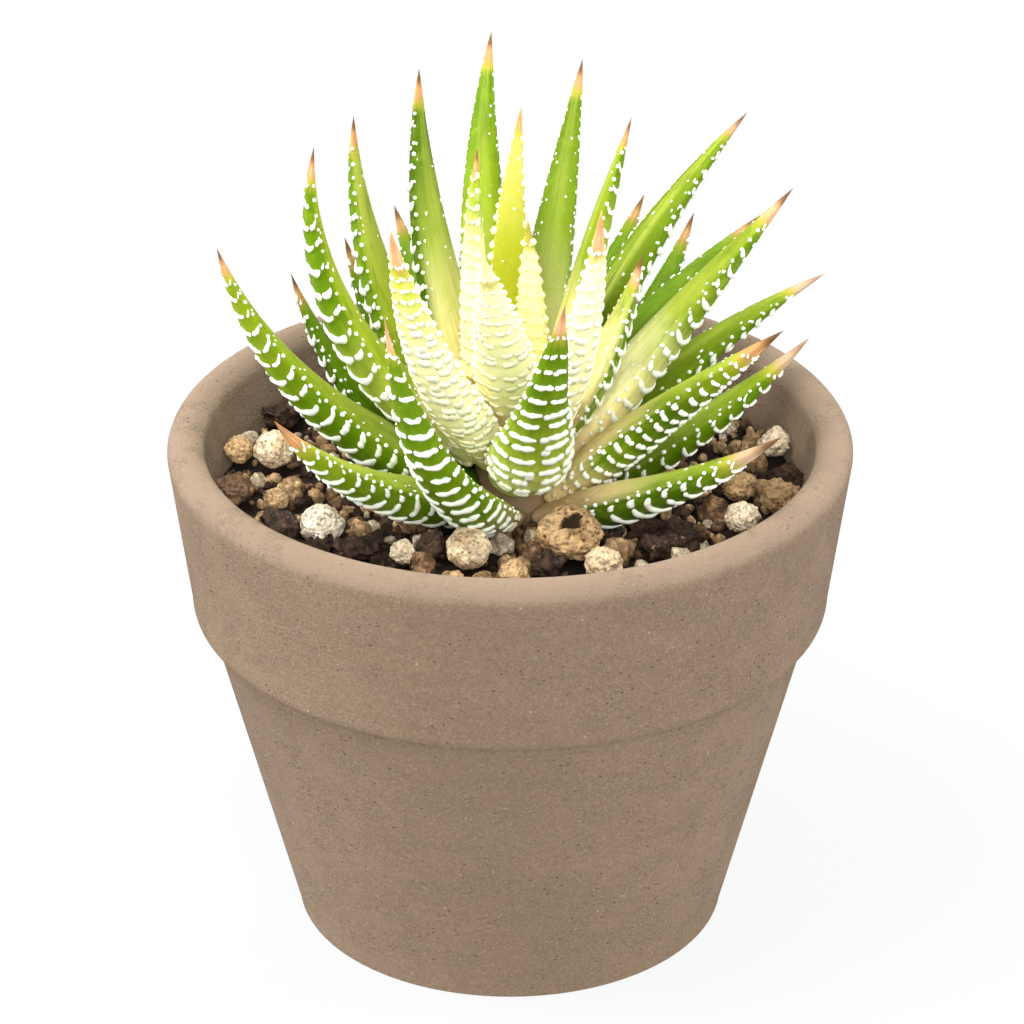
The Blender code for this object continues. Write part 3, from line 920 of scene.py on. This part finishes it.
SKIN_STOPS = (0.05, 0.28, 0.55, 0.8)
GLOW_COLOUR = (1.0, 0.9, 0.25)
GLOW_DEPTH = 1.4 * MM
RUN_LAYERS = ("along", "up", "across", "ridge")


def leaf_skin(name, look):
    """Skin whose colours run from foot to tip on the face and on the back, softly streaked."""
    material, shader, here = new_finish(
        name,
        0.45,
        Specular_IOR_Level=0.1,
        Subsurface_Weight=look["glow"],
        Subsurface_Radius=GLOW_COLOUR,
        Subsurface_Scale=GLOW_DEPTH,
    )
    along, up, across, ridge = (here.layer(layer) for layer in RUN_LAYERS)
    run = here.node("ShaderNodeCombineXYZ", {}, {0: across, 1: up, 2: along})
    streaks = run.scaled((5, 3, 1.6)).cloud(1.8, 3, 0.6)
    patches = run.scaled((1.3, 1, 5)).cloud(1.6, 3, 0.6)
    mottle = here.cloud(380, 3, 0.6)
    flecks = run.scaled((6, 6, 34)).cells(1.0).step(0.17, 0.06) * mottle.step(0.42, 0.55)
    stripe = up.step(0.84, 0.99) * along.step(0.03, 0.3) * streaks.step(0.3, 0.6)
    place = along + (streaks - 0.5) * 0.12
    facing = (up + (mottle - 0.5) * 0.16).step(-0.1, 0.1) * (1 - look["rim"] * up.step(0.75, 0.1))
    ragged = along + (streaks - 0.5) * 0.05 + (mottle - 0.5) * 0.03
    face, back, uneven, tip = look["face"][2], look["back"][2], look["uneven"], look["tip"]

    def tipwards(first, last):
        """Rises towards the point, between two places given in lengths of the dry tip from the point."""
        return ragged.step(1 - tip * first, 1 - tip * last)

    body = coated(
        facing.between(place.run(SKIN_STOPS, look["back"]), place.run(SKIN_STOPS, look["face"])),
        (stripe * look["stripe"], PALE_LIME),
        (patches.step(0.52, 0.7) * 0.18 * uneven, shade(face, 1.5)),
        (patches.step(0.48, 0.3) * 0.4 * uneven, shade(back, 0.7)),
        (streaks.step(0.5, 0.8) * 0.14 * uneven, shade(back, 0.6)),
        (flecks * up.step(0.05, 0.4) * 0.45, SKIN_FLECK),
        (mottle.step(0.5, 0.75) * 0.3, shade(face, 1.35)),
        (mottle.step(0.45, 0.25) * 0.3 * uneven, shade(back, 0.7)),
        # the ridge colour over the low swellings under the rows: partly paler skin, partly painted light on
        # their raised tops
        (ridge * ridge * 0.55, look["ridge"]),
        (tipwards(1.4, 1) * look["ripe"], TIP_YELLOW),
        (tipwards(1.1, 0.75), look["dry"]),
        (tipwards(1, 0.6) * streaks.step(0.5, 0.7) * 0.7, TIP_STRAW),
        (tipwards(0.65, 0.3) * look["burnt"], TIP_BROWN),
    )
    connect(shader, "Roughness", 0.42 + mottle * 0.16 + tipwards(1.3, 0.7) * 0.3)
    fibres = run.scaled((9, 9, 3)).cloud(4, 3, 0.6)
    dress(shader, body, fibres * 0.5 + here.cloud(1300, 2) * 0.5, 0.3, 0.1 * MM)
    return material


def pearl_skin(name, colour, upper):
    """Tubercles: chalky white, melting into the skin on the side of the tip, and cream near the foot."""
    material, shader, here = new_finish(name, 0.5, Specular_IOR_Level=0.2)
    body = coated(
        colour,
        (here.cloud(1200, 3).step(0.4, 0.8), shade(colour, 0.88)),
        (here.layer("ridge").step(1, 0.35), upper),
        (here.layer("along").step(0.16, 0.04), PEARL_FOOT),
    )
    dress(shader, body, here.cloud(1800, 2), 0.3, 0.1 * MM)
    return material


def mixed(ends, share):
    return ends[0] + (ends[1] - ends[0]) * share


class Marks:
    """The tubercles of one leaf: low domes, ribbons and teeth, placed on its skin all at once."""

    def __init__(self, leaf, chance):
        self.bm = bmesh.new()
        self.layers = run_layers(self.bm)
        self.leaf = leaf
        self.chance = chance
        self.verts = []
        self.places = []
        self.fades = []

    def ribbon(self, ends, course, width, height, shape):
        """A lumpy ribbon between two places round the leaf, along its course."""
        lump = self.chance.uniform(0, 9)
        for vertex in add_copy(self.bm, shape):
            q, h, p = vertex.co
            plump = math.sqrt(1 + p * p) * (1 + 0.15 * p * p + 0.2 * math.sin(7 * p + lump))
            around = (ends[0] + ends[1]) / 2 + p * (ends[1] - ends[0]) / 2
            curl = self.leaf.look["curl"] * MM * p * p
            q *= 1 if q < 0 else self.leaf.look["lobe"]
            along = course(around) + (q * plump * width / 2 + curl) / self.leaf.length
            self.verts.append(vertex)
            self.places.append((along, around, height * (h * plump * 0.7 + 0.3), 0, 0))
            self.fades.append(min(1, 1 - vertex.co.x))

    def dome(self, along, around, width, height):
        """A small oval tubercle, longer along the leaf than across."""
        breadth = max(self.leaf.breadth(min(max(along, 0.02), 0.985)), 0.4 * MM)
        reach = width / 2 / breadth * QUARTER_TURN
        self.ribbon((around - reach, around + reach), lambda a: along, width * 1.25, height, dome_blank)

    def tooth(self, along, around, width, rise, run):
        """A small blunt tooth that stands out from a margin."""
        for vertex in add_copy(self.bm, dome_blank):
            q, h, p = vertex.co
            self.verts.append(vertex)
            self.places.append((along, around, h * rise, q * width * run / 2, p * width / 2))
            self.fades.append(min(1, 0.3 + h))

    def settle(self, rows):
        along, around, lift, forward, sideways = np.array(self.places).T
        look = self.leaf.look
        lift = lift + swelling(self.leaf, look, rows, along, around) * look["swell"] * MM
        points = self.leaf.at(along, around, lift, forward, sideways)
        for vertex, point, (along, around, *_), fade in zip(self.verts, points, self.places, self.fades):
            vertex.co = point
            set_run(vertex, self.layers, along, around, fade)
        for face in self.bm.faces:
            face.material_index = 1
        return finished_mesh(self.bm, "marks")


def run_layers(bm):
    return [bm.verts.layers.float.new(name) for name in RUN_LAYERS]


def set_run(vertex, layers, along, around, ridge):
    values = (along, math.sin(math.tau * around), math.cos(math.tau * around), ridge)
    for layer, value in zip(layers, values):
        vertex[layer] = value


def row_places(leaf, look, chance):
    """Where the rows of tubercles cross the back, from near the tip down to the foot."""
    rows = [1 - look["clear"]]
    while rows[-1] > LAST_ROW:
        gap = mixed(look["gap"], 1 - rows[-1]) * MM
        rows.append(rows[-1] - gap * chance.uniform(0.88, 1.12) / leaf.length)
    return rows


def bend(leaf, look, along, around):
    """How far a row lies towards the tip at a place round the back: each side sags between its ends."""
    off = np.abs(around * 2 % 1 - 0.5) * 2
    waver = look["waver"] * np.sin(around * WAVES_ROUND + along * WAVES_ALONG)
    sag = look["sag"] * ((off - 0.5) / 0.45) ** 2
    return (sag + look["bow"] * (1 - off * off) + waver) * MM / leaf.length


def mark_rows(marks, leaf, look, rows):
    """Rows of tubercles across the back: dots near the tip, and longer ridges further down."""
    chance = marks.chance
    for row, middle in enumerate(rows):
        breadth = leaf.breadth(max(middle, 0.03))
        grown = min(1, row / look["ripening"])
        width = look["width"] * MM * mixed((0.5, 1), grown)
        dash = mixed(look["dash"], grown) * MM * mixed((0.35, 1), min(1, middle / FOOT_ROWS))
        height = look["height"] * MM
        for centre, side in look["sides"]:
            place = chance.uniform(0.02, 0.12)
            while place < ROW_END:
                reach = dash * chance.uniform(0.7, 1.3) / breadth
                end = min(place + reach, chance.uniform(0.9, 1.0))
                length = (end - place) * breadth
                if length > SHORTEST_RIDGE:
                    shift = chance.uniform(-1, 1) * look["stray"] * width / leaf.length
                    marks.ribbon(
                        sorted(centre + side * share * QUARTER_TURN for share in (place, end)),
                        lambda around: middle + shift + bend(leaf, look, middle, around),
                        min(width * chance.uniform(0.8, 1.15), length * 1.3),
                        height * chance.uniform(0.85, 1.15),
                        ribbon_blank if length < LONG_RIDGE else ridge_blank,
                    )
                place = end + chance.uniform(*look["space"]) * MM / breadth
        if chance.random() < look["keel"]:
            half_gap = mixed(look["gap"], 1 - middle) * MM / 2 / leaf.length
            marks.dome(middle - half_gap, KEEL_PLACE + chance.uniform(-0.03, 0.03), width * 0.8, height)


def mark_margins(marks, leaf, look):
    """Small teeth along both margins, and flat freckles on the face."""
    chance = marks.chance
    for margin in (0.0, 0.5):
        along = 0.1
        while along < 1 - look["clear"] * 0.8:
            size = look["tooth"] * MM * (1 - along * 0.35) * chance.uniform(0.8, 1.2)
            marks.tooth(along, margin, size, size * look["tooth_rise"], look["tooth_run"])
            if chance.random() < look["specks"]:
                inward = chance.uniform(0.03, 0.09) * (1 if margin == 0 else -1)
                marks.dome(along + chance.uniform(-0.01, 0.01), margin + inward, size * 0.75, size * 0.35)
            along += chance.uniform(0.75, 1.25) * look["tooth_gap"] * MM / leaf.length
    for _ in range(look["freckles"]):
        place = chance.uniform(0.12, 0.85)
        around = FACE_PLACE + chance.uniform(0.03, 0.19) * chance.choice((-1, 1))
        marks.dome(place, around, chance.uniform(0.22, 0.5) * MM, 0.12 * MM)


def swelling(leaf, look, rows, along, around):
    """How far each place belongs to the low ridge under a row of tubercles, from 0 to 1."""
    places = np.array(rows[::-1])
    shifted = along - bend(leaf, look, along, around)
    index = np.clip(np.searchsorted(places, shifted), 1, len(places) - 1)
    share = np.clip((shifted - places[index - 1]) / (places[index] - places[index - 1]), 0, 1)
    side = np.sin(math.tau * around)
    back = np.maximum(np.abs(side) if look["sides"] is ALL_ROUND else -side, 0) ** 0.4
    ledge = np.maximum((1 - share) ** 1.6, np.clip((share - 0.8) / 0.2, 0, 1) ** 2)
    fade = np.clip((1 - look["clear"] * 0.8 - along) / SWELL_FADE, 0, 1) * np.clip(along / SWELL_FADE, 0, 1)
    scales = 0.72 + 0.28 * np.cos(around * SCALES_ROUND + np.round(shifted * SCALES_ALONG) * 2.4)
    return ledge * back * fade * scales


def grow(node, look, slot):
    """One leaf, with its skin and tubercles in a single mesh."""
    leaf = Leaf(node, look)
    chance = random.Random(node)
    rows = row_places(leaf, look, chance)
    bm = bmesh.new()
    layers = run_layers(bm)
    bmesh.ops.create_grid(bm, x_segments=AROUND_STEPS, y_segments=ALONG_STEPS, size=0.5)
    skin = list(bm.verts)
    along = np.array([vertex.co.y + 0.5 for vertex in skin])
    around = np.array([vertex.co.x + 0.5 for vertex in skin])
    ridge = swelling(leaf, look, rows, along, around)
    points = leaf.at(along, around, ridge * look["swell"] * MM)
    for vertex, point, *run in zip(skin, points, along, around, ridge):
        vertex.co = point
        set_run(vertex, layers, *run)
    bmesh.ops.remove_doubles(bm, verts=bm.verts, dist=LEAF_WELD)
    bmesh.ops.holes_fill(bm, edges=bm.edges, sides=AROUND_STEPS + 1)
    bmesh.ops.recalc_face_normals(bm, faces=bm.faces)
    marks = Marks(leaf, chance)
    mark_rows(marks, leaf, look, rows)
    mark_margins(marks, leaf, look)
    bm.from_mesh(marks.settle(rows))
    piece = new_piece(f"{node}_grown", bm, leaf_skin(f"{node}_skin", look), pearls[look["pearl"]])
    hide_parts(node)


def ball_blank(name, around, along):
    bm = bmesh.new()
    bmesh.ops.create_uvsphere(bm, u_segments=around, v_segments=along, radius=1)
    return finished_mesh(bm, name)


BACK_ONLY = ((KEEL_PLACE, -1), (KEEL_PLACE, 1))
ALL_ROUND = (*BACK_ONLY, (FACE_PLACE, -1), (FACE_PLACE, 1))
SHORTEST_RIDGE = 0.35 * MM
LONG_RIDGE = 2.2 * MM
FOOT_ROWS = 0.25
LAST_ROW = 0.07
ROW_END = 0.92
SWELL_FADE = 0.06
WAVES_ROUND = 40
WAVES_ALONG = 37
SCALES_ROUND = 75
SCALES_ALONG = 16
ridge_blank = ball_blank("ridge_blank", 6, 13)
ribbon_blank = ball_blank("ribbon_blank", 6, 7)
dome_blank = ball_blank("dome_blank", 6, 4)
pearls = {
    "white": pearl_skin("white_pearls", PEARL, (0.78, 0.82, 0.68)),
    "cream": pearl_skin("cream_pearls", PEARL_CREAM, (0.97, 0.92, 0.60)),
    "butter": pearl_skin("butter_pearls", PEARL_BUTTER, (0.95, 0.88, 0.42)),
}

# What most green leaves share. Lengths are in millimetres, and a pair runs from the tip to the foot, or
# from the first row to a ripe one; tip and clear are shares of the length, and the rest are strengths.
GREEN_LEAF = dict(
    face=(PALE_LIME, FRESH, FRESH, FRESH), back=(PALE_LIME, GREEN, GREEN, GREEN), ridge=(0.22, 0.32, 0.012),
    rim=0.5, stripe=0.4, glow=0.15, uneven=1,
    tip=0.09, ripe=0.8, dry=TIP_ORANGE, burnt=0.9, clear=0.1,
    gap=(3.0, 3.2), width=1.15, height=0.4, dash=(0.8, 4.5), space=(0.2, 0.5), ripening=5,
    sag=1.1, bow=0.0, keel=0.3, waver=0.12, curl=0.12, stray=0.15, lobe=1,
    tooth=0.7, tooth_rise=0.6, tooth_gap=2.0, tooth_run=1.25, specks=0.3, freckles=10,
    waist=0, belly=0, swell=0.16, needle=(0.86, -0.2), roll=0, sides=BACK_ONLY, pearl="white",
)
OLD_LEAF = dict(
    GREEN_LEAF, face=(MOSS, DEEP, GREEN, GREEN), back=(MOSS, DEEP, DEEP, DEEP), ridge=DEEP,
    stripe=0.15, dry=(0.36, 0.20, 0.07), ripe=0.25, tip=0.12,
)
CREAMS = (PEACH, CREAM, CREAM, CREAM)
CREAM_LEAF = dict(
    GREEN_LEAF, face=CREAMS, back=CREAMS, ridge=(0.92, 0.90, 0.66),
    rim=0.0, stripe=0.0, glow=0.6, uneven=0.25,
    tip=0.13, dry=TIP_PINK, burnt=0.35, clear=0.12,
    gap=(2.0, 2.2), width=1.8, height=0.2, dash=(0.5, 1.9), space=(-0.1, 0.2), ripening=9,
    sag=0.25, keel=0.0, waver=0.15, curl=0.25, stray=0.4, lobe=0.6,
    tooth=1.0, tooth_rise=0.75, tooth_gap=2.1, tooth_run=1.6, specks=0.2, freckles=0,
    swell=0.26, pearl="cream",
)

OUTER_LEAVES = {number: OLD_LEAF for number in range(1, 14)}
OUTER_LEAVES[1] = dict(
    GREEN_LEAF,
    face=(DEEP, (0.11, 0.17, 0.008), (0.14, 0.21, 0.004), (0.15, 0.22, 0.006)),
    back=(DEEP, DEEP, GREEN, GREEN),
    dry=TIP_PAPER, burnt=0.5, tip=0.12, clear=0.14, dash=(0.6, 1.8), freckles=20,
)
OUTER_LEAVES[10] = dict(
    GREEN_LEAF,
    face=(DEEP, (0.19, 0.24, 0.03), (0.22, 0.29, 0.015), FRESH), back=(DEEP, GREEN, GREEN, FRESH),
    gap=(2.6, 3.3), dash=(0.6, 3.4), ripening=8, sag=1.2, tip=0.075, freckles=18,
)
OUTER_LEAVES[11] = dict(
    GREEN_LEAF,
    face=(MOSS, (0.25, 0.31, 0.04), (0.26, 0.33, 0.03), PALE_LIME), back=(MOSS, GREEN, GREEN, FRESH),
    gap=(2.8, 3.9), dash=(0.8, 3.2), sag=1.2, burnt=0.4, tip=0.15, clear=0.15, freckles=16,
)
OUTER_LEAVES[12] = dict(
    GREEN_LEAF,
    face=(BEIGE, BEIGE, (0.21, 0.28, 0.03), (0.17, 0.25, 0.006)), back=(BEIGE, DEEP, DEEP, GREEN),
    gap=(3.0, 3.9), dash=(1.0, 3.6), width=1.4, sag=1.3, tip=0.19, clear=0.2, dry=TIP_PAPER,
)
OUTER_LEAVES[13] = dict(
    GREEN_LEAF,
    face=(MOSS, (0.24, 0.29, 0.04), (0.16, 0.23, 0.02), (0.17, 0.24, 0.006)), back=(MOSS, DEEP, GREEN, GREEN),
    dash=(0.6, 1.6), width=0.8, burnt=0.5, tip=0.15, clear=0.17, dry=TIP_PAPER,
)
MIDDLE_LEAVES = {
    1: dict(
        GREEN_LEAF,
        face=(PEACH, (0.97, 0.91, 0.50), (0.28, 0.34, 0.03), (0.20, 0.27, 0.010)),
        back=(PEACH, (0.86, 0.76, 0.34), (0.15, 0.24, 0.008), GREEN),
        stripe=0.1, gap=(2.6, 3.1), width=1.25, tip=0.12, clear=0.14, dry=TIP_PINK,
    ),
    2: dict(
        GREEN_LEAF,
        face=(DEEP, (0.09, 0.14, 0.001), (0.115, 0.18, 0.001), (0.14, 0.21, 0.002)),
        stripe=0.7, dash=(0.7, 1.8), freckles=34, dry=(0.38, 0.22, 0.11), ripe=0.4,
    ),
    3: dict(
        GREEN_LEAF,
        face=(BEIGE, (0.42, 0.41, 0.14), (0.17, 0.26, 0.010), (0.11, 0.18, 0.002)),
        stripe=0.35, rim=0.8, uneven=0.5, freckles=26,
    ),
    4: dict(GREEN_LEAF, face=(BUTTER, PALE_LIME, (0.20, 0.29, 0.005), GREEN), rim=0.7, freckles=6),
    5: dict(
        GREEN_LEAF,
        face=(PEACH, (0.74, 0.68, 0.32), (0.24, 0.31, 0.04), (0.075, 0.15, 0.002)),
        back=(BEIGE, DEEP, DEEP, DEEP),
        stripe=0.5, rim=0.6, uneven=0.3, gap=(3.0, 3.3), sag=1.0, freckles=26,
    ),
    6: dict(
        GREEN_LEAF,
        face=(DEEP, FRESH, (0.28, 0.34, 0.03), (0.34, 0.40, 0.06)),
        gap=(2.6, 2.8), sag=0.9, dash=(0.8, 3),
    ),
    7: dict(
        GREEN_LEAF,
        face=(CREAM, FRESH, (0.25, 0.32, 0.015), (0.24, 0.31, 0.012)), back=(CREAM, PALE_LIME, GREEN, GREEN),
        gap=(2.9, 4.2), width=1.4, dash=(0.6, 4.2), ripening=9, sag=1.4, freckles=24,
    ),
    8: dict(
        GREEN_LEAF,
        back=(BEIGE, GREEN, GREEN, GREEN),
        gap=(3.9, 3.2), width=1.35, dash=(0.8, 3.4), sag=0.3, bow=0.8, tooth=0.6, tooth_gap=2.8,
        dry=TIP_PINK, burnt=0.4, tip=0.095, clear=0.11, needle=(0.74, 0.35),
    ),
    9: dict(
        GREEN_LEAF,
        back=((0.84, 0.82, 0.36), (0.34, 0.44, 0.03), GREEN, GREEN),
        gap=(5.0, 2.4), width=1.7, dash=(0.5, 3.6), space=(0.15, 0.5), ripening=6, sag=0.3, bow=2.2, keel=0.5,
        tooth=0.6, tooth_gap=2.8, waist=0.33, belly=0.3, needle=(0.84, 0.2),
        dry=TIP_PINK, burnt=0.5, tip=0.13, clear=0.17,
    ),
    10: dict(
        GREEN_LEAF,
        face=(PEACH, (0.66, 0.50, 0.24), (0.22, 0.29, 0.02), (0.30, 0.37, 0.04)),
        back=(PEACH, GREEN, DEEP, FRESH),
        gap=(2.3, 2.5), width=1.05, dash=(0.8, 1.6), space=(0.25, 0.55), sag=0.4, tip=0.17, clear=0.14,
    ),
}
YELLOWS = (LIME, LIME, (0.34, 0.36, 0.010), (0.46, 0.44, 0.09))
LIME_TIPPED = (PEACH, CREAM, CREAM, (0.28, 0.38, 0.01))
INNER_LEAVES = {
    1: dict(
        GREEN_LEAF,
        face=(CREAM, CREAM, FRESH, FRESH), back=(CREAM, CREAM, PALE_LIME, GREEN), stripe=0.8, freckles=20,
    ),
    2: dict(
        CREAM_LEAF,
        gap=(2.1, 2.3), width=0.9, dash=(0.6, 1.1), space=(0.2, 0.7), sides=ALL_ROUND, pearl="butter",
        dry=TIP_YELLOW,
    ),
    3: dict(
        CREAM_LEAF,
        face=YELLOWS, back=YELLOWS, ridge=(0.42, 0.44, 0.06), glow=0.3, swell=0.15,
        width=0.7, dash=(0.6, 0.8), freckles=16, pearl="butter", tip=0.09, dry=TIP_ORANGE,
    ),
    4: dict(
        CREAM_LEAF,
        face=LIME_TIPPED, back=LIME_TIPPED,
        width=0.9, dash=(0.4, 1.2), freckles=30, pearl="butter", dry=TIP_ORANGE, tip=0.1, burnt=0.8,
    ),
    5: dict(CREAM_LEAF, back=(PEACH, CREAM, CREAM, (0.55, 0.60, 0.04)), gap=(1.8, 2.0)),
    6: dict(CREAM_LEAF, gap=(2.5, 2.7), width=1.9, dry=CREAM),
    7: dict(CREAM_LEAF, gap=(1.9, 2.1), tip=0.15, clear=0.15),
    8: dict(
        GREEN_LEAF,
        face=(BEIGE, (0.62, 0.52, 0.24), (0.74, 0.68, 0.32), (0.30, 0.36, 0.05)),
        stripe=0.5, dry=TIP_PINK, tip=0.14, freckles=16, roll=40,
    ),
}
for whorl, looks, slot in (
    ("outer", OUTER_LEAVES, "leaf_green"),
    ("middle", MIDDLE_LEAVES, "leaf_green"),
    ("inner", INNER_LEAVES, "leaf_variegated"),
):
    for number, look in looks.items():
        grow(f"{whorl}_leaf_{number:02}", look, slot)
